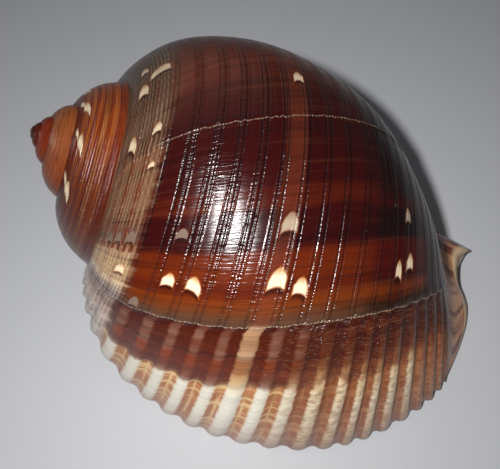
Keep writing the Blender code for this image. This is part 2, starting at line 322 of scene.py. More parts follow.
class Skin:
    """Points and faces of the mesh while it is made, with (v, g) at each face's corner."""

    def __init__(self):
        self.points = []
        self.faces = []
        self.coil = []
        self.slots = []

    def add(self, points):
        start = len(self.points)
        self.points.extend(tuple(map(float, point)) for point in np.reshape(points, (-1, 3)))
        return list(range(start, len(self.points)))

    def face(self, ids, coil, slot):
        kept = [i for i in range(len(ids)) if ids[i] not in ids[:i]]
        if len(kept) < 3:
            return
        self.faces.append([ids[i] for i in kept])
        self.coil.append([coil[i] for i in kept])
        self.slots.append(slot)

    def strip(self, left, right, left_coil, right_coil, slot):
        for i in range(len(left) - 1):
            self.face(
                (left[i], left[i + 1], right[i + 1], right[i]),
                (left_coil[i], left_coil[i + 1], right_coil[i + 1], right_coil[i]),
                slot,
            )

    def stitch(self, left, right, left_at, right_at, left_coil, right_coil, slot):
        """Triangles between two rows of points, stepping along whichever is behind."""
        i = 0
        k = 0
        while i < len(left) - 1 or k < len(right) - 1:
            near, far = (left[i], left_coil[i]), (right[k], right_coil[k])
            if k == len(right) - 1 or (i < len(left) - 1 and left_at[i + 1] <= right_at[k + 1]):
                i += 1
                new = (left[i], left_coil[i])
            else:
                k += 1
                new = (right[k], right_coil[k])
            ids, coil = zip(near, new, far)
            self.face(ids, coil, slot)


def outer_skin(skin):
    """Columns of the outer surface: point ids, v of each, and (v, g) of each."""
    spire = np.linspace(0, ROWS[WELD], SPIRE_ROWS)
    columns = []
    for column in range(COLUMNS + 1):
        body = column >= BODY_START
        rows = ROWS if body else spire
        turn, g, _ = column_place(column, rows)
        if body:
            points = wall_points(rows, turn, relief_share=1.0, g=g)
        else:
            points = wall_points(rows, turn)
        if column >= STEPS_PER_TURN:
            older, older_rows, _ = columns[column - STEPS_PER_TURN]
            at = WELD if len(older_rows) == len(ROWS) else SPIRE_ROWS - 1
            ids = [older[at]] + skin.add(points[1:])
        else:
            ids = skin.add(points)
        columns.append((ids, rows, list(zip(rows.tolist(), g.tolist()))))
    for (left, left_at, left_coil), (right, right_at, right_coil) in zip(columns, columns[1:]):
        if len(left) == len(right):
            skin.strip(left, right, left_coil, right_coil, OUTSIDE)
        else:
            end = WELD + 1
            right, right_at, right_coil = right[:end], right_at[:end], right_coil[:end]
            skin.stitch(left, right, left_at, right_at, left_coil, right_coil, OUTSIDE)
    start = columns[0][0] + [columns[i][0][0] for i in range(STEPS_PER_TURN - 1, 0, -1)]
    middle = np.mean([skin.points[i] for i in start], axis=0) - (APEX_CROWN, 0, 0)
    hub = skin.add([middle])[0]
    for i, at in enumerate(start):
        skin.face((hub, at, start[i - 1]), ((0.05, -TURNS),) * 3, OUTSIDE)
    return columns


def section_end(turn):
    size = float(growth(turn))
    along = float(axial_at(1.0)) * size * (1 + SPIRE_SHORTENING * turn)
    return along, float(radius_at(1.0)) * size, LIP_TURN_ANGLE + turn * math.tau


def curve_at(at, knots, values):
    """A smooth curve through values at knots, with slopes from each one's neighbours."""
    knots = np.array(knots)
    values = np.array(values)
    slopes = np.gradient(values, knots)
    i = int(np.clip(np.searchsorted(knots, at) - 1, 0, len(knots) - 2))
    width = knots[i + 1] - knots[i]
    s = (at - knots[i]) / width
    return float(
        (1 + 2 * s) * (1 - s) ** 2 * values[i]
        + s * (1 - s) ** 2 * width * slopes[i]
        + s * s * (3 - 2 * s) * values[i + 1]
        + s * s * (s - 1) * width * slopes[i + 1]
    )


def neck_edge(share):
    """Distance along the axis, radius and angle of the neck's free edge."""
    points = [(part, x * MM, r * MM, math.radians(degrees)) for part, x, r, degrees in NECK_EDGE]
    points.insert(0, (0.0, *section_end(SUTURE_TURN - 1)))
    points.append((1.0, *section_end(column_end_turn(COLUMNS))))
    shares, *ways = zip(*points)
    return [curve_at(share, shares, way) for way in ways]


def neck_skin(skin, columns):
    neck = []
    for column in range(BODY_START, COLUMNS + 1):
        share = (column - BODY_START) / STEPS_PER_TURN
        ids, _, coil = columns[column]
        ring = np.array(skin.points[ids[-1]])
        g = coil[-1][1]
        down = np.arange(NECK_ROWS + 1) / NECK_ROWS
        around = [(1 + NECK_SPAN * part, g) for part in down.tolist()]
        if column in (BODY_START, COLUMNS):
            neck.append(([ids[-1]] * (NECK_ROWS + 1), around))
            continue
        axial, radius, angle = neck_edge(share)
        ring_radius = math.hypot(ring[1], ring[2])
        ring_angle = LIP_TURN_ANGLE + column_end_turn(column) * math.tau
        points = about_axis(
            ring[0] + down * (axial - ring[0]),
            ring_radius + down * (radius - ring_radius) - NECK_HOLLOW * np.sin(math.pi * down),
            ring_angle + down * (angle - ring_angle),
        )
        neck.append(([ids[-1]] + skin.add(points[1:]), around))
    for (left, left_coil), (right, right_coil) in zip(neck, neck[1:]):
        skin.strip(left, right, left_coil, right_coil, OUTSIDE)
    return neck


def mouth_neck_point(share):
    edge = about_axis(*neck_edge(share))
    if share < SIPHON_TIP_SHARE:
        return edge
    along, across = section_normal(1.0)
    end_angle = LIP_TURN_ANGLE + float(growth_line(1.0))
    outer_wall = about_axis(along, across, end_angle) * -LIP_WALL
    blend = min((1 - share) / NOTCH_TURN_SHARE, 1.0)
    return edge + outer_wall * (1 - blend) + np.array(NOTCH_WALL) * MM * blend


INNER_ROWS = ROWS[ROWS > INNER_SUTURE]
COLUMELLA_SHARES = (np.arange(3 * len(COLUMELLA)) + 1) / (3 * len(COLUMELLA) + 1)
COLUMELLA_KNOTS = (np.arange(len(COLUMELLA)) + 1) / (len(COLUMELLA) + 1)


def cavity_points(loop):
    """One ring down the inside: parietal wall, columella and canal floor, outer wall."""
    step = loop * CAVITY_STRIDE
    column = COLUMNS - step
    near_turn = SUTURE_TURN - step / STEPS_PER_TURN
    far_turn = column_end_turn(column)
    inside = 1 - (1 - min(loop / CANAL_BLEND_LOOPS, 1.0)) ** 2
    depth = LIP_WALL + (WALL - LIP_WALL) * inside
    parietal = np.linspace(ROWS[WELD + 1], 1, PARIETAL_ROWS)
    points = [wall_points(parietal, near_turn - 1)]
    coil = [(u, near_turn - 1) for u in parietal.tolist()]
    for share in COLUMELLA_SHARES.tolist():
        turn = near_turn + share * (far_turn - near_turn)
        size = float(growth(turn))
        axial = curve_at(share, COLUMELLA_KNOTS, [x * MM for x, _ in COLUMELLA])
        radius = curve_at(share, COLUMELLA_KNOTS, [r * MM for _, r in COLUMELLA])
        deep = about_axis(axial * size, radius * size, LIP_TURN_ANGLE + turn * math.tau)
        points.append((mouth_neck_point(share) * (1 - inside) + deep * inside)[None])
        coil.append((NECK_END, turn))
    rows = INNER_ROWS[::-1]
    turn, g, _ = column_place(column, rows)
    points.append(wall_points(rows, turn, depth, relief_share=1 - inside, g=g))
    coil += list(zip(rows.tolist(), g.tolist()))
    return np.concatenate(points), coil


def inner_skin(skin, columns, neck):
    """The inside and the rim that joins it to the outer surface round the mouth."""
    body, body_rows, body_coil = columns[BODY_START]
    lip, lip_rows, _ = columns[COLUMNS]
    tip = round(SIPHON_TIP_SHARE * STEPS_PER_TURN)
    notch = list(range(tip + 1, STEPS_PER_TURN))
    notch_ids = skin.add([mouth_neck_point(i / STEPS_PER_TURN) for i in notch])
    rows = INNER_ROWS[::-1]
    lip_turn, lip_g, _ = column_place(COLUMNS, rows)
    lip_ids = skin.add(wall_points(rows, lip_turn, LIP_WALL, relief_share=1.0, g=lip_g))
    ring = body[WELD + 1 :] + [ids[-1] for ids, _ in neck[1:tip]] + notch_ids + lip_ids
    at = body_rows[WELD + 1 :].tolist()
    at += [1 + i / STEPS_PER_TURN for i in [*range(1, tip), *notch]]
    at += [ALL_ROUND - v for v in rows.tolist()]
    coil = body_coil[WELD + 1 :] + [(NECK_END, 0.0)] * (tip - 1 + len(notch))
    coil += [(v, 0.0) for v in rows.tolist()]
    loops = [(ring, at, coil)]
    loop_at = np.linspace(ROWS[WELD + 1], 1, PARIETAL_ROWS).tolist()
    loop_at += (1 + COLUMELLA_SHARES).tolist() + (ALL_ROUND - rows).tolist()
    for loop in range(1, CAVITY_LOOPS + 1):
        points, loop_coil = cavity_points(loop)
        loops.append((skin.add(points), loop_at, loop_coil))
    closed = [(ids + ids[:1], at + [ALL_ROUND], coil + coil[:1]) for ids, at, coil in loops]
    for (left, left_at, left_coil), (right, right_at, right_coil) in zip(closed, closed[1:]):
        skin.stitch(left, right, left_at, right_at, left_coil, right_coil, INSIDE)
    last = loops[-1][0]
    hub = skin.add([np.mean([skin.points[i] for i in last], axis=0)])[0]
    for i, here in enumerate(last):
        skin.face((hub, here, last[i - 1]), ((0.5, -1.0),) * 3, INSIDE)

    outer = lip + [ids[-1] for ids, _ in reversed(neck[tip:-1])]
    outer_at = lip_rows.tolist()
    outer_at += [2 - i / STEPS_PER_TURN for i in range(STEPS_PER_TURN - 1, tip - 1, -1)]
    inner = [ring[0]] + lip_ids[::-1] + notch_ids[::-1] + [neck[tip - 1][0][-1]]
    inner_at = [0.0] + rows[::-1].tolist() + outer_at[len(lip_rows) :]
    marks = [(u, 0.0) for u in outer_at]
    inner_marks = [(u, 0.0) for u in inner_at]
    skin.stitch(outer, inner, outer_at, inner_at, marks, inner_marks, OUTSIDE)


def all_spots():
    rng = np.random.default_rng(HIDDEN_SEED)
    spots = list(SPOTS + FLAMES)
    for _ in range(HIDDEN_SPOTS):
        rib = int(rng.integers(3, len(GROOVES) - 2))
        half = (GROOVES[rib + 1] - GROOVES[rib]) * HIDDEN_WIDTH
        middle = (GROOVES[rib] + GROOVES[rib + 1]) / 2
        g = float(rng.uniform(*HIDDEN_RANGE))
        half_g = float(rng.uniform(*HIDDEN_HALF))
        spots.append((middle, g, half, half_g, 0.0, float(rng.uniform(0, HIDDEN_GREY))))
    return np.array(spots)


def spot_map(skin):
    """Each corner's place on its face's nearest spot, -1 to 1 both ways, and how grey that is."""
    spots = all_spots()
    placed = []
    shades = []
    for corners in skin.coil:
        v, g = np.array(corners).T
        middle_v, middle_g = v.mean(), g.mean()
        far = np.maximum(
            np.abs(middle_v - spots[:, 0]) / spots[:, 2],
            np.abs(middle_g - spots[:, 1] - spots[:, 4] * (middle_v - spots[:, 0])) / spots[:, 3],
        )
        near = spots[int(far.argmin())]
        if far.min() > SPOT_REACH:
            placed += [(NO_SPOT, NO_SPOT)] * len(v)
        else:
            along = (g - near[1] - near[4] * (v - near[0])) / near[3]
            placed += list(zip((v - near[0]) / near[2], along))
        shades += [near[5]] * len(v)
    return np.array(placed), np.array(shades)


def rest_matrix():
    up = Vector(REST_UP).normalized()
    forward = Vector((1, 0, 0))
    forward = (forward - up * forward.dot(up)).normalized()
    return Matrix((forward, up.cross(forward), up))


def new_object(name, data):
    thing = bpy.data.objects.new(name, data)
    bpy.context.scene.collection.objects.link(thing)
    return thing


def shell_object():
    skin = Skin()
    columns = outer_skin(skin)
    neck = neck_skin(skin, columns)
    inner_skin(skin, columns, neck)
    turned = np.array(rest_matrix())
    points = np.array(skin.points) @ turned.T + np.array(POLE)
    points[:, 2] = np.maximum(points[:, 2], 0.0)
    mesh = bpy.data.meshes.new("tun_shell")
    mesh.from_pydata(points.tolist(), [], skin.faces)
    coil = np.array([pair for face in skin.coil for pair in face])
    spots, shades = spot_map(skin)
    ribs = np.stack((rib_number(coil[:, 0]), shades), -1)
    for name, values in (("coil", coil), ("rib", ribs), ("spot", spots)):
        mesh.uv_layers.new(name=name).data.foreach_set("uv", values.ravel())
    mesh.polygons.foreach_set("material_index", skin.slots)
    bm = bmesh.new()
    bm.from_mesh(mesh)
    bmesh.ops.recalc_face_normals(bm, faces=bm.faces)
    bm.to_mesh(mesh)
    bm.free()
    mesh.shade_smooth()
    mesh.validate()
    return new_object("tun_shell", mesh)


# Materials

# Light that the gloss adds nearly everywhere, left out of the colours
SHEEN = 0.006
# Dark colours are taken darker than they look in the photograph, as they face its light
DARK_SHARE = 0.70
PALE_GAIN = 0.56
DARKEST = 0.0015
# How deep the finest relief looks, in metres
OUTSIDE_BUMP = 0.00021
INSIDE_BUMP = 0.0001

# Colours along the last whorl as (g, colour): ribs and grooves of the middle, of the
# siphonal side, of the base by the canal, and of the shoulder
MIDDLE_RIBS = (
    (-1.00, (106, 46, 26)), (-0.62, (88, 36, 24)), (-0.56, (122, 58, 32)), (-0.50, (80, 34, 24)),
    (-0.45, (106, 46, 28)), (-0.40, (116, 50, 30)), (-0.36, (84, 36, 24)), (-0.33, (68, 27, 19)),
    (-0.268, (70, 26, 17)), (-0.260, (92, 35, 20)), (-0.251, (96, 38, 22)),
    (-0.246, (68, 26, 18)), (-0.220, (64, 26, 20)), (-0.215, (112, 44, 18)),
    (-0.200, (122, 50, 20)), (-0.186, (100, 38, 17)), (-0.181, (126, 54, 24)),
    (-0.174, (128, 64, 32)), (-0.169, (108, 64, 42)), (-0.161, (104, 76, 60)),
    (-0.158, (92, 48, 38)), (-0.150, (138, 98, 84)), (-0.142, (118, 70, 54)),
    (-0.135, (142, 104, 88)), (-0.130, (132, 60, 36)), (-0.121, (134, 66, 42)),
    (-0.117, (112, 62, 48)), (-0.106, (140, 92, 72)), (-0.1025, (212, 206, 190)),
    (-0.060, (218, 212, 198)), (-0.030, (206, 190, 174)), (0.0, (186, 160, 145)),
)
MIDDLE_GROOVES = (
    (-1.0, (52, 22, 14)), (-0.62, (34, 16, 14)), (-0.45, (56, 22, 14)), (-0.33, (34, 14, 12)),
    (-0.262, (36, 14, 12)), (-0.255, (74, 26, 14)), (-0.246, (32, 12, 12)),
    (-0.219, (34, 13, 12)), (-0.215, (76, 24, 12)), (-0.180, (88, 28, 12)),
    (-0.173, (116, 54, 24)), (-0.163, (64, 40, 30)), (-0.158, (66, 28, 20)),
    (-0.150, (92, 40, 24)), (-0.130, (98, 40, 24)), (-0.120, (112, 46, 24)),
    (-0.106, (106, 48, 28)), (-0.1025, (214, 178, 128)), (-0.050, (208, 170, 126)),
    (0.0, (172, 132, 112)),
)
LOWER_RIBS = (
    (-1.0, (92, 42, 24)), (-0.62, (66, 28, 19)), (-0.42, (56, 24, 17)), (-0.33, (36, 17, 14)),
    (-0.262, (46, 19, 13)), (-0.250, (74, 28, 13)), (-0.240, (38, 17, 13)),
    (-0.220, (42, 17, 13)), (-0.216, (88, 30, 12)), (-0.192, (88, 30, 12)),
    (-0.185, (58, 24, 14)), (-0.181, (124, 54, 24)), (-0.172, (116, 54, 26)),
    (-0.168, (62, 41, 28)), (-0.161, (72, 52, 38)), (-0.158, (62, 29, 21)),
    (-0.150, (88, 46, 36)), (-0.126, (112, 62, 42)), (-0.118, (152, 98, 62)),
    (-0.108, (196, 156, 110)), (-0.098, (216, 194, 156)), (-0.070, (212, 196, 168)),
    (-0.040, (204, 176, 142)), (0.0, (176, 140, 110)),
)
LOWER_GROOVES = (
    (-1.0, (40, 18, 12)), (-0.62, (26, 12, 10)), (-0.220, (28, 13, 10)), (-0.215, (76, 24, 10)),
    (-0.190, (70, 22, 10)), (-0.180, (100, 42, 17)), (-0.170, (52, 29, 19)),
    (-0.158, (66, 28, 20)), (-0.130, (84, 36, 22)), (-0.112, (128, 66, 38)),
    (-0.098, (164, 104, 62)), (-0.050, (176, 118, 76)), (0.0, (140, 90, 60)),
)
# The base's purple-brown from g -0.155 to -0.12 is partly the shell's dark brown and partly
# painted grey sheen of the grazing canal side
BASE_RIBS = (
    (-1.0, (84, 42, 28)), (-0.62, (60, 30, 22)), (-0.36, (44, 22, 18)), (-0.20, (46, 25, 21)),
    (-0.155, (64, 38, 34)), (-0.120, (84, 48, 42)), (-0.110, (124, 68, 50)),
    (-0.060, (172, 112, 78)), (-0.030, (178, 126, 92)), (0.0, (150, 104, 80)),
)
# On the shoulder from g -0.171 on, the grey-white is partly its own pale colour and partly painted
# sheen of the limb seen at a grazing angle
SHOULDER_RIBS = (
    (-1.0, (70, 44, 32)), (-0.62, (66, 52, 46)), (-0.50, (84, 66, 54)), (-0.45, (104, 80, 62)),
    (-0.40, (98, 70, 54)), (-0.36, (120, 90, 72)), (-0.335, (98, 70, 56)),
    (-0.320, (136, 96, 72)), (-0.260, (142, 104, 78)), (-0.245, (128, 84, 64)),
    (-0.229, (112, 86, 80)), (-0.221, (156, 104, 72)), (-0.215, (180, 142, 110)),
    (-0.200, (196, 162, 122)), (-0.185, (190, 156, 118)), (-0.177, (214, 190, 156)),
    (-0.171, (166, 148, 144)), (-0.162, (148, 132, 132)), (-0.158, (146, 124, 120)),
    (-0.140, (182, 158, 144)), (-0.120, (196, 180, 168)), (-0.080, (200, 190, 182)),
    (0.0, (190, 178, 170)),
)
# The tenth rib after the last scar
TENTH_RIB = (
    (-0.160, (178, 138, 104)), (-0.146, (164, 120, 88)), (-0.136, (180, 144, 112)),
    (-0.131, (150, 96, 62)), (-0.120, (164, 112, 72)), (-0.112, (204, 166, 118)),
    (-0.104, (226, 206, 164)),
)
# The same, along the whorls of the spire
# Its stops from g -1.24 to -1.10 are partly the whorl's own purple-brown and partly painted shade
# of its lower limb
SPIRE_RIBS = (
    (-5.9, (48, 10, 8)), (-4.6, (92, 16, 10)), (-4.1, (124, 28, 12)), (-3.6, (168, 40, 14)),
    (-3.1, (162, 56, 24)), (-2.7, (178, 92, 48)), (-2.4, (188, 108, 58)), (-2.15, (164, 78, 42)),
    (-1.75, (92, 38, 26)), (-1.50, (150, 62, 28)), (-1.32, (142, 54, 24)), (-1.24, (104, 46, 34)),
    (-1.16, (84, 40, 36)), (-1.10, (76, 38, 34)), (-1.00, (86, 40, 28)),
)
# Across a whorl of the spire, from its own suture to the next one's
SPIRE_STRIPES = (
    (0.00, (72, 22, 14)), (0.05, (96, 28, 16)), (0.09, (74, 20, 13)), (0.12, (128, 48, 24)),
    (0.14, (96, 28, 16)), (0.17, (190, 104, 44)), (0.19, (112, 34, 16)), (0.21, (204, 122, 54)),
    (0.23, (126, 44, 20)), (0.25, (196, 108, 46)), (0.27, (112, 36, 18)), (0.29, (212, 136, 66)),
    (0.31, (150, 62, 26)), (0.33, (206, 120, 56)), (0.35, (120, 42, 20)), (0.38, (176, 92, 42)),
)
# Where the last growth scar's pale line runs, just before its ridge
LAST_SCAR = -0.1595
# Growth lines turn back towards the suture more than the mesh's do
SHOULDER_BEND = 0.036
SHOULDER_END = 0.20
# Zones by rib number, as where each starts and where it is whole
LOWER_OLD = (12.6, 14.4)
LOWER_YOUNG = (10.3, 12.6)
BASE = (17.4, 18.6)
SHOULDER_EDGE = 3.94
PALE_RIB = 9.0
# Zones by growth turn, in the same way
YOUNG = (LAST_SCAR - 0.0005, LAST_SCAR + 0.0005)
BROWN_PART = (-0.102, -0.106)
SPIRE = (-1.0, -1.02)
WORN = (-0.32, -0.40)
# The neck's start, and its rim, in v
NECK = (1.0, 1.02)
NECK_RIM = (1.265, 1.285)
# The scars' pale lines: g, share of the bend by the shoulder, and strength
SCAR_LINES = ((LAST_SCAR, 0.0, 0.75), (SCARS[1], 1.0, 0.5))

# Noises over two coordinates: scale of the first and of the second, detail and roughness
NOISES = {
    "wander": (14.0, 26.0, 3.0, 0.5),
    "mottle": (1.9, 70.0, 3.0, 0.6),
    "fine": (5.0, 620.0, 3.0, 0.7),
    "streaks": (2.5, 130.0, 4.0, 0.6),
    "broad": (5.0, 34.0, 2.0, 0.5),
    "ragged edges": (3.1, 260.0, 3.0, 0.6),
    "single ribs": (2.7, 11.0, 2.0, 0.5),
    "blocks": (4.3, 95.0, 2.0, 0.5),
    "blotches": (3.7, 62.0, 2.0, 0.5),
    "bars": (2.3, 150.0, 3.0, 0.65),
    "breaks": (7.3, 130.0, 3.0, 0.6),
    "merged lines": (5.9, 24.0, 1.0, 0.5),
    "shoulder hairs": (40.0, 9.0, 2.0, 0.5),
    "spire stripes": (12.0, 5.0, 2.0, 0.5),
    "spire patches": (22.0, 9.0, 3.0, 0.5),
    "strokes": (60.0, 900.0, 2.0, 0.5),
    "spot edges": (120.0, 240.0, 2.0, 0.5),
    "beading": (5.1, 520.0, 1.0, 0.5),
    "grains": (420.0, 620.0, 1.0, 0.5),
    "inside": (3.0, 90.0, 4.0, 0.6),
}

# Single colours, as screen values
DARK_RIB = (60, 22, 14)
BROWN_BLOCK = (108, 48, 30)
WARM_RIB = (150, 74, 50)
WHITE_RIB_SIDE = (196, 150, 108)
BROWN_RIB_SIDE = (104, 46, 28)
RIB_BAR = (146, 82, 48)
BROWN_DASH = (84, 34, 20)
TAN_DASH = (178, 104, 58)
LOWER_DASH = (146, 78, 44)
GROOVE_LINE = (28, 10, 8)
RIB_HAIR = (40, 14, 10)
SHOULDER_THREAD = (124, 56, 36)
SHOULDER_HAIR = (84, 44, 30)
SHOULDER_GLEAM = (206, 176, 140)
SHOULDER_MARK = (100, 34, 22)
SPIRE_PATCH = (96, 30, 18)
SPIRE_THREAD = (96, 34, 18)
SPIRE_SUTURE = (70, 24, 16)
DARK_STREAK = (44, 16, 10)
FINE_STREAK = (40, 15, 10)
PALE_STREAK = (216, 140, 90)
PALE_STROKE = (206, 168, 128)
SCAR_LINE = (214, 190, 160)
SPOT_RIM = (176, 86, 34)
SPOT_SHADOW = (40, 16, 14)
SPOT_FRONT = (236, 214, 178)
SPOT_TAIL = (196, 150, 100)
GREY_SPOT = (136, 112, 100)
NECK_CREAM = (204, 146, 104)
NECK_STRIPE = (118, 48, 24)
NECK_EDGE_CREAM = (222, 190, 150)
INSIDE_PALE = (208, 182, 160)
INSIDE_DEEP = (197, 167, 144)
INSIDE_TINT = (168, 106, 72)


class Nodes:
    """Short calls for a material's nodes."""

    def __init__(self, name):
        self.material = bpy.data.materials.new(name)
        self.material.use_nodes = True
        self.tree = self.material.node_tree
        self.shader = self.tree.nodes["Principled BSDF"]

    def put(self, socket, value):
        if isinstance(value, bpy.types.NodeSocket):
            self.tree.links.new(value, socket)
        else:
            socket.default_value = value

    def math(self, operation, *values, clamp=False):
        node = self.tree.nodes.new("ShaderNodeMath")
        node.operation = operation
        node.use_clamp = clamp
        for socket, value in zip(node.inputs, values):
            self.put(socket, value)
        return node.outputs[0]

    def times(self, first, *others):
        for other in others:
            first = self.math("MULTIPLY", first, other)
        return first

    def plus(self, first, *others):
        for other in others:
            first = self.math("ADD", first, other)
        return first

    def minus(self, a, b):
        return self.math("SUBTRACT", a, b)

    def apart(self, a, b):
        return self.math("ABSOLUTE", self.minus(a, b))

    def swing(self, noise, width):
        """A noise of 0..1 moved to lie around 0, as wide as width."""
        return self.times(self.minus(noise, 0.5), width)

    def fade(self, value, low, high, smooth=True):
        """0 below low and 1 above high, or the other way round where low is over high."""
        node = self.tree.nodes.new("ShaderNodeMapRange")
        node.interpolation_type = "SMOOTHSTEP" if smooth else "LINEAR"
        for name, put in (("Value", value), ("From Min", low), ("From Max", high)):
            self.put(node.inputs[name], put)
        return node.outputs[0]

    def mix(self, factor, a, b):
        """a and b mixed; each is a socket or a colour in screen values."""
        node = self.tree.nodes.new("ShaderNodeMix")
        node.data_type = "RGBA"
        self.put(node.inputs[0], factor)
        for socket, value in ((node.inputs[6], a), (node.inputs[7], b)):
            self.put(socket, (*srgb(*value), 1.0) if isinstance(value, tuple) else value)
        return node.outputs[2]

    def over(self, under, colour, *shares):
        """A single colour laid over another, by the product of the shares."""
        return self.mix(self.times(*shares), under, colour)

    def uv(self, name):
        """The two coordinates of one of the mesh's maps."""
        node = self.tree.nodes.new("ShaderNodeUVMap")
        node.uv_map = name
        split = self.tree.nodes.new("ShaderNodeSeparateXYZ")
        self.put(split.inputs[0], node.outputs[0])
        return split.outputs[0], split.outputs[1]

    def bump(self, height, distance, strength):
        node = self.tree.nodes.new("ShaderNodeBump")
        node.inputs["Strength"].default_value = strength
        node.inputs["Distance"].default_value = distance
        self.put(node.inputs["Height"], height)
        return node.outputs[0]

    def noise(self, x, y, detail, rough=0.5):
        place = self.tree.nodes.new("ShaderNodeCombineXYZ")
        for socket, value in zip(place.inputs, (x, y)):
            self.put(socket, value)
        node = self.tree.nodes.new("ShaderNodeTexNoise")
        self.put(node.inputs["Vector"], place.outputs[0])
        node.inputs["Scale"].default_value = 1.0
        node.inputs["Detail"].default_value = detail
        node.inputs["Roughness"].default_value = rough
        return node.outputs["Fac"]

    def grain(self, name, x, y):
        x_scale, y_scale, detail, rough = NOISES[name]
        return self.noise(self.times(x, x_scale), self.times(y, y_scale), detail, rough)

    def ramp(self, value, stops):
        """A colour ramp over a value, from its first stop's place to its last's."""
        low, high = stops[0][0], stops[-1][0]
        node = self.tree.nodes.new("ShaderNodeValToRGB")
        elements = node.color_ramp.elements
        elements.remove(elements[-1])
        for at, colour in stops:
            element = elements[0] if at == low else elements.new((at - low) / (high - low))
            element.color = (*srgb(*colour), 1.0)
        self.put(node.inputs[0], self.fade(value, low, high, smooth=False))
        return node.outputs[0]


def srgb(r, g, b):
    """Linear colour from 0..255 screen values, less what the gloss adds to it."""
    linear = [((v / 255 + 0.055) / 1.055) ** 2.4 if v > 10 else v / 255 / 12.92 for v in (r, g, b)]
    depth = DARK_SHARE + PALE_GAIN * sum(linear) / 3
    return tuple(max(value * depth - SHEEN, DARKEST) for value in linear)


def by_growth(n, low, high):
    """A fade by growth turn, with the colours' wandering edge."""
    return n.fade(n.g_bent, low, high)


def outside_nodes():
    """Nodes that also hold what a point's place on the outer surface says about it."""
    n = Nodes("shell_outside")
    n.v, n.g = n.uv("coil")
    n.number, n.shade = n.uv("rib")
    n.rib = n.math("FLOOR", n.number)
    n.tenth = n.math("COMPARE", n.rib, PALE_RIB, 0.2)
    n.young = n.fade(n.g, *YOUNG)
    n.old = n.minus(1.0, n.young)
    n.spire = n.fade(n.g, *SPIRE)

    # Growth lines, and the same with a wandering edge for the colours
    near_suture = n.math("SUBTRACT", 1.0, n.math("DIVIDE", n.v, SHOULDER_END), clamp=True)
    n.bend = n.times(near_suture, near_suture, SHOULDER_BEND)
    n.g_line = n.plus(n.g, n.bend)
    wander = n.swing(n.grain("wander", n.v, n.g), 0.008)
    mottle = n.minus(n.grain("mottle", n.number, n.g), 0.54)
    mottle = n.times(mottle, n.fade(n.number, 9.5, 13.0), 0.035, n.fade(n.g, -0.135, -0.115))
    n.g_bent = n.plus(n.g_line, wander, mottle)
    n.brown_part = by_growth(n, *BROWN_PART)
    n.fine = n.grain("fine", n.v, n.g_line)
    n.streak = n.grain("streaks", n.v, n.g_line)

    # How far from the groove's middle (0) to the rib's (1)
    from_middle = n.apart(n.math("FRACT", n.number), 0.5)
    n.off = n.minus(1.0, n.times(from_middle, 2.0))
    ragged_edge = n.swing(n.grain("ragged edges", n.number, n.g), 0.42)
    n.off_young = n.plus(n.off, ragged_edge, n.times(n.tenth, 0.22))
    groove_old = n.fade(n.off, 0.46, 0.34)
    n.groove_young = n.fade(n.off_young, 0.66, 0.44)
    n.groove = n.plus(n.times(groove_old, n.old, 0.20), n.times(n.groove_young, n.young))
    line = n.fade(n.apart(n.off, LINE_OFF), 0.17, 0.05)
    n.lines = n.times(line, n.old)
    n.breaks = n.grain("breaks", n.math("ROUND", n.number), n.g)

    # Zones from the suture to the canal
    lower_old = n.times(n.fade(n.number, *LOWER_OLD), n.old)
    n.lower = n.plus(lower_old, n.times(n.fade(n.number, *LOWER_YOUNG), n.young))
    n.base = n.fade(n.number, *BASE)
    worn = by_growth(n, *WORN)
    ragged = n.swing(n.streak, n.plus(0.45, n.times(worn, 0.55)))
    past_edge = n.minus(n.plus(n.number, n.times(ragged, 2.0)), SHOULDER_EDGE)
    edge_width = n.plus(0.26, n.times(worn, 0.4))
    n.shoulder = n.fade(n.math("DIVIDE", past_edge, edge_width), 1.0, -1.0)
    n.thread = n.math("SINE", n.times(n.v, 420.0))
    return n


def rib_colour(n):
    """The ribs of the last whorl, below its shoulder."""
    middle, lower, base, tenth = (
        n.ramp(n.g_bent, stops) for stops in (MIDDLE_RIBS, LOWER_RIBS, BASE_RIBS, TENTH_RIB)
    )
    colour = n.mix(n.base, n.mix(n.lower, middle, lower), base)
    single = n.grain("single ribs", n.rib, n.g)
    colour = n.over(colour, DARK_RIB, n.fade(single, 0.48, 0.30), 0.4, n.old)
    block = n.fade(n.grain("blocks", n.rib, n.g), 0.46, 0.62)
    colour = n.over(colour, BROWN_BLOCK, block, n.young, by_growth(n, -0.106, -0.112), 0.4)

    # The tenth rib is paler than the others, all along
    colour = n.over(colour, WARM_RIB, n.tenth, n.old, 0.30)
    pale = n.times(n.tenth, by_growth(n, -0.164, -0.158), by_growth(n, -0.09, -0.12))
    colour = n.mix(pale, colour, tenth)

    # Once the ribs stand up their sides are browner: partly painted shade on the sloping sides,
    # partly blotches of the shell's own brown
    blotch = n.swing(n.grain("blotches", n.rib, n.g), 1.1)
    sides = n.math("ADD", n.fade(n.off_young, 0.84, 0.48), blotch, clamp=True)
    strength = n.plus(0.2, n.times(n.brown_part, 0.6))
    sides = n.times(sides, n.young, strength, n.minus(1.0, n.times(n.tenth, 0.7)))
    side_colour = n.mix(n.brown_part, WHITE_RIB_SIDE, BROWN_RIB_SIDE)
    colour = n.mix(sides, colour, side_colour)

    # Towards the canal they are barred
    barred = n.plus(n.times(n.lower, 0.50), n.times(n.base, 0.35))
    barred = n.times(barred, by_growth(n, -0.128, -0.106))
    bars = n.fade(n.grain("bars", n.number, n.g), 0.44, 0.60)
    return n.over(colour, RIB_BAR, bars, barred, n.young)


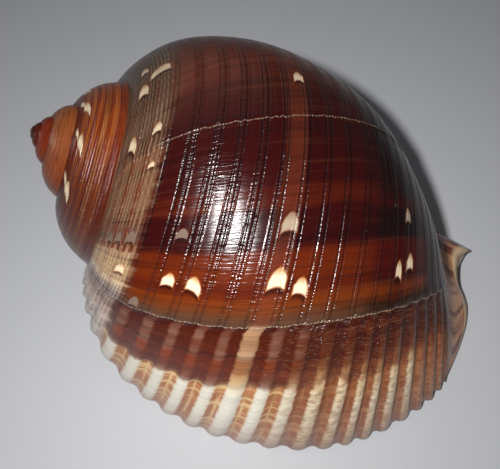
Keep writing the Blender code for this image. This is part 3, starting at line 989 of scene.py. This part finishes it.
def groove_colour(n):
    """The grooves of the last whorl, with broken brown lines, two to a groove or merged."""
    middle, lower = (n.ramp(n.g_bent, stops) for stops in (MIDDLE_GROOVES, LOWER_GROOVES))
    merged = n.fade(n.grain("merged lines", n.rib, n.g), 0.42, 0.58)
    merged = n.times(merged, n.fade(n.off_young, 0.62, 0.46), 0.9)
    two = n.fade(n.apart(n.off, 0.33), 0.30, 0.14)
    dash = n.times(n.math("MAXIMUM", two, merged), n.fade(n.breaks, 0.42, 0.52), n.young)
    dash = n.times(dash, n.minus(0.88, n.times(n.brown_part, 0.35)))
    by_lip = n.mix(n.lower, TAN_DASH, LOWER_DASH)
    dash_colour = n.mix(by_growth(n, -0.108, -0.100), BROWN_DASH, by_lip)
    return n.mix(dash, n.mix(n.lower, middle, lower), dash_colour)


def dark_lines(n, body):
    """The lines in the grooves and the hairlines along the ribs, before the last scar."""
    amount = n.minus(0.40, n.times(by_growth(n, -0.222, -0.214), 0.18))
    amount = n.minus(amount, n.times(by_growth(n, -0.320, -0.330), 0.26))
    body = n.over(body, GROOVE_LINE, n.lines, amount)
    broad = n.grain("broad", n.v, n.g_line)
    hairs = n.math("SINE", n.plus(n.times(n.number, 31.4), n.times(broad, 9.0)))
    return n.over(body, RIB_HAIR, n.fade(hairs, 0.2, 0.9), n.fade(broad, 0.35, 0.60), n.old, 0.12)


def shoulder_colour(n):
    """The shoulder, with brown threads, hairlines and a row of red-brown marks."""
    colour = n.ramp(n.g_bent, SHOULDER_RIBS)
    strong = n.times(by_growth(n, -0.335, -0.325), by_growth(n, -0.212, -0.222))
    amount = n.times(n.plus(0.30, n.times(strong, 0.5)), n.fade(n.v, 0.05, 0.12))
    threads = n.fade(n.off, 0.50, 0.20)
    colour = n.over(colour, SHOULDER_THREAD, threads, amount, n.fade(n.breaks, 0.35, 0.55))
    wander = n.times(n.grain("shoulder hairs", n.v, n.g), 9.0)
    hair = n.math("SINE", n.plus(n.times(n.v, 560.0), wander))
    hair = n.times(hair, n.fade(n.streak, 0.30, 0.60))
    colour = n.over(colour, SHOULDER_HAIR, n.fade(hair, 0.15, 0.75), 0.42)
    colour = n.over(colour, SHOULDER_GLEAM, n.fade(hair, -0.25, -0.85), 0.28)
    marks = n.times(by_growth(n, -0.2235, -0.2215), by_growth(n, -0.2140, -0.2160))
    apart = n.fade(n.math("SINE", n.times(n.v, 330.0)), -0.3, 0.2)
    return n.over(colour, SHOULDER_MARK, marks, apart, 0.8)


def spire_colour(n):
    """The spire, with spiral stripes and fine threads, and painted shade on the lower limb of the
    whorl before the last.
    """
    v_bent = n.plus(n.v, n.swing(n.grain("spire stripes", n.v, n.g), 0.045))
    striped = n.plus(0.20, n.times(n.fade(n.g, -2.0, -1.8), 0.42))
    # Fewer stripes towards g -1.18, so the darker ramp shows there: partly painted shade of the
    # lower limb
    striped = n.minus(striped, n.times(n.fade(n.g, -1.36, -1.18), 0.42))
    colour = n.mix(striped, n.ramp(n.g_bent, SPIRE_RIBS), n.ramp(v_bent, SPIRE_STRIPES))
    patches = n.grain("spire patches", n.v, n.g)
    colour = n.over(colour, SPIRE_PATCH, n.fade(patches, 0.50, 0.70), 0.5)
    colour = n.over(colour, SPIRE_THREAD, n.fade(n.thread, 0.2, 0.9), 0.30)
    return n.over(colour, SPIRE_SUTURE, n.fade(n.v, 0.030, 0.0), 0.5)


def growth_marks(n, body):
    """Growth streaks, pale strokes, and the thin pale lines along the scars."""
    amount = n.minus(0.38, n.times(by_growth(n, -0.108, -0.098), 0.24))
    amount = n.minus(amount, n.times(n.spire, 0.30))
    body = n.over(body, DARK_STREAK, n.fade(n.streak, 0.50, 0.66), amount)
    body = n.over(body, FINE_STREAK, n.fade(n.fine, 0.52, 0.64), 0.22)
    body = n.over(body, PALE_STREAK, n.fade(n.streak, 0.46, 0.34), 0.03)
    strokes = n.fade(n.grain("strokes", n.v, n.g_line), 0.55, 0.68)
    body = n.over(body, PALE_STROKE, strokes, n.young, n.fade(n.number, 8.5, 12.0), 0.14)
    wiggle = n.swing(n.noise(n.times(n.v, 60.0), 0.0, 2.0), 0.005)
    beads = n.fade(n.noise(n.times(n.v, 330.0), 0.0, 1.0), 0.44, 0.58)
    for scar_g, bend_share, strength in SCAR_LINES:
        past = n.minus(n.plus(n.g, n.times(n.bend, bend_share)), scar_g)
        line = n.fade(n.math("ABSOLUTE", n.plus(past, wiggle)), 0.0008, 0.0002)
        body = n.over(body, SCAR_LINE, line, beads, strength, n.fade(n.v, 0.18, 0.24))
    return body


def spot_masks(n, across, along, wobble):
    """How much of a point is spot, its bright rim, and the dark patch on its younger side."""
    across = n.times(n.plus(across, n.times(wobble, 0.22)), 1.08)
    along = n.times(n.plus(along, n.times(wobble, 0.18)), 1.08)
    side = n.math("ABSOLUTE", across)
    front = n.plus(0.68, n.times(across, across, 0.32))
    taper = n.math("SQRT", n.times(n.math("ADD", along, 1.0, clamp=True), 0.9))
    past = n.minus(along, front)
    outside = n.math("MAXIMUM", n.minus(side, taper), past)
    outside = n.math("MAXIMUM", outside, n.minus(-1.0, along))
    dark = n.times(n.fade(past, 0.02, 0.18), n.fade(past, 0.85, 0.35), n.fade(side, 1.05, 0.85))
    return n.fade(outside, 0.12, -0.18), n.fade(outside, 0.30, 0.02), dark


def spotted(n, body):
    """Pale spots, each with an orange rim and a dark patch on the younger side."""
    across, along = n.uv("spot")
    wobble = n.grain("spot edges", n.v, n.g)
    wobble = n.swing(wobble, n.plus(1.0, n.times(n.spire, 4.0)))
    spot, rim, dark = spot_masks(n, across, along, wobble)
    last_whorl = n.minus(1.0, n.spire)
    body = n.over(body, SPOT_RIM, rim, last_whorl, 0.55, n.minus(1.0, n.shade))
    body = n.over(body, SPOT_SHADOW, dark, last_whorl, 0.7)
    colour = n.mix(n.fade(along, 0.0, -0.9), SPOT_FRONT, SPOT_TAIL)
    return n.mix(spot, body, n.over(colour, GREY_SPOT, n.shade))


def neck_colour(n):
    """The neck of the canal: cream with curved orange growth stripes."""
    arch = n.minus(n.times(n.v, 6.0), 6.9)
    stripe_at = n.plus(n.times(n.g, 32.0), n.times(arch, arch, 1.6))
    stripe = n.noise(stripe_at, n.times(n.v, 2.0), 3.0)
    colour = n.mix(n.fade(stripe, 0.42, 0.60), NECK_CREAM, NECK_STRIPE)
    return n.over(colour, NECK_EDGE_CREAM, n.fade(n.v, *NECK_RIM))


def fine_height(n):
    """The finest relief: growth lines, the grooves' lines and beads, threads and grains."""
    height = n.plus(n.times(n.fine, 0.45), n.times(n.streak, 0.55))
    height = n.minus(height, n.times(n.lines, 0.5))
    beading = n.times(n.grain("beading", n.rib, n.g), 1.5)
    beaded = n.times(n.fade(n.off, 0.60, 0.35), n.old, beading)
    grainy = n.plus(0.4, n.times(n.fade(n.number, 9.5, 12.0), 0.6))
    grainy = n.times(grainy, n.young, n.fade(n.g, -0.05, -0.08), n.groove_young)
    grains = n.times(n.grain("grains", n.v, n.g), grainy, 1.6)
    return n.plus(height, beaded, n.times(n.thread, n.spire, 0.45), grains)


def outside_material():
    n = outside_nodes()
    body = n.mix(n.groove, rib_colour(n), groove_colour(n))
    body = dark_lines(n, body)
    body = n.mix(n.shoulder, body, shoulder_colour(n))
    body = n.mix(n.spire, body, spire_colour(n))
    body = growth_marks(n, body)
    body = spotted(n, body)
    body = n.mix(n.fade(n.v, *NECK), body, neck_colour(n))
    n.put(n.shader.inputs["Base Color"], body)
    n.put(n.shader.inputs["Normal"], n.bump(fine_height(n), OUTSIDE_BUMP, 0.8))
    rough = n.plus(0.15, n.times(n.fine, 0.10), n.times(n.fade(n.g, -0.16, -0.08), 0.16))
    n.put(n.shader.inputs["Roughness"], rough)
    return n.material


def inside_material():
    n = Nodes("shell_inside")
    v, g = n.uv("coil")
    number = n.uv("rib")[0]
    streak = n.grain("inside", v, g)
    colour = n.mix(n.fade(streak, 0.42, 0.66), INSIDE_PALE, INSIDE_DEEP)
    off = n.apart(n.math("FRACT", number), 0.5)
    colour = n.over(colour, INSIDE_TINT, n.fade(off, 0.22, 0.42), n.fade(g, -0.05, -0.01), 0.55)
    n.put(n.shader.inputs["Base Color"], colour)
    n.put(n.shader.inputs["Normal"], n.bump(streak, INSIDE_BUMP, 0.6))
    n.put(n.shader.inputs["Roughness"], n.plus(0.18, n.times(streak, 0.12)))
    return n.material


shell = shell_object()
shell.data.materials.append(outside_material())
shell.data.materials.append(inside_material())
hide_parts("shell")
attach(shell, "root")


# Floor, light and camera

FLOOR_HALF = 2
FLOOR_COLOUR = (0.40, 0.405, 0.42, 1)
FLOOR_ROUGHNESS = 0.8
# The photograph's camera, fitted with the shell: its turn about the shell's axis frame, its
# focal length in pixels, and where in the image and how deep the pole of the coil lies
TILT = math.radians(19.94)
LEAN_BACK = math.radians(13.47)
FOCAL_PIXELS = 1160.2
POLE_DISTANCE = 263.52 * MM
APEX_PIXEL = (28.481, 129.235)
IMAGE = (500, 469)
SENSOR_WIDTH = 36
WORLD_COLOUR = (0.86, 0.90, 0.96, 1)
WORLD_STRENGTH = 0.08
CENTRE = Vector((0, 0, 0.035))
# The key light stands behind the camera; its offset and its aim are in the camera's own axes
KEY_DISTANCE = 1.3
KEY_OFFSET = Vector((-0.046, 0.002, 0.0))
KEY_AIM = Vector((-0.010, -0.035, 0.0))
KEY_SIZE = 0.020
KEY_POWER = 0.185
KEY_SPREAD = math.radians(56)
BACK_PLACE = Vector((-0.35, 0.68, 0.45))
BACK_SIZE = 1.0
BACK_POWER = 0.6


def floor_object():
    corners = [(-1, -1), (1, -1), (1, 1), (-1, 1)]
    mesh = bpy.data.meshes.new("floor")
    mesh.from_pydata([(x * FLOOR_HALF, y * FLOOR_HALF, 0) for x, y in corners], [], [(0, 1, 2, 3)])
    material = bpy.data.materials.new("floor")
    material.use_nodes = True
    shader = material.node_tree.nodes["Principled BSDF"]
    shader.inputs["Base Color"].default_value = FLOOR_COLOUR
    shader.inputs["Roughness"].default_value = FLOOR_ROUGHNESS
    mesh.materials.append(material)
    return new_object("floor", mesh)


def camera_turn_and_place():
    axis = Vector((
        math.cos(LEAN_BACK) * math.cos(TILT),
        -math.cos(LEAN_BACK) * math.sin(TILT),
        -math.sin(LEAN_BACK),
    ))
    across_axis = (Vector((0, 1, 0)) - axis * axis.y).normalized()
    apex_seen = Vector((
        (APEX_PIXEL[0] - IMAGE[0] / 2) / FOCAL_PIXELS,
        -(APEX_PIXEL[1] - IMAGE[1] / 2) / FOCAL_PIXELS,
        -1.0,
    )) * POLE_DISTANCE
    turn = rest_matrix() @ Matrix((axis, across_axis, axis.cross(across_axis)))
    return turn, Vector(POLE) - turn @ apex_seen


def add_camera(turn, place):
    data = bpy.data.cameras.new("camera")
    data.sensor_width = SENSOR_WIDTH
    data.lens = SENSOR_WIDTH * FOCAL_PIXELS / IMAGE[0]
    data.clip_start = 0.01
    camera = new_object("camera", data)
    camera.matrix_world = Matrix.Translation(place) @ turn.to_4x4()
    bpy.context.scene.camera = camera


def area_light(name, place, target, size, power):
    data = bpy.data.lights.new(name, "AREA")
    data.shape = "DISK"
    data.size = size
    data.energy = power
    light = new_object(name, data)
    light.location = place
    light.rotation_mode = "QUATERNION"
    light.rotation_quaternion = (target - place).to_track_quat("-Z", "Y")
    return light


floor = floor_object()
camera_turn, camera_place = camera_turn_and_place()
add_camera(camera_turn, camera_place)

world = bpy.data.worlds.new("studio")
world.use_nodes = True
background = world.node_tree.nodes["Background"]
background.inputs["Color"].default_value = WORLD_COLOUR
background.inputs["Strength"].default_value = WORLD_STRENGTH
bpy.context.scene.world = world
bpy.context.scene.view_settings.view_transform = "Standard"

key_place = camera_place * KEY_DISTANCE + camera_turn @ KEY_OFFSET
key = area_light("key", key_place, CENTRE + camera_turn @ KEY_AIM, KEY_SIZE, KEY_POWER)
key.data.spread = KEY_SPREAD
area_light("back", BACK_PLACE, CENTRE, BACK_SIZE, BACK_POWER)
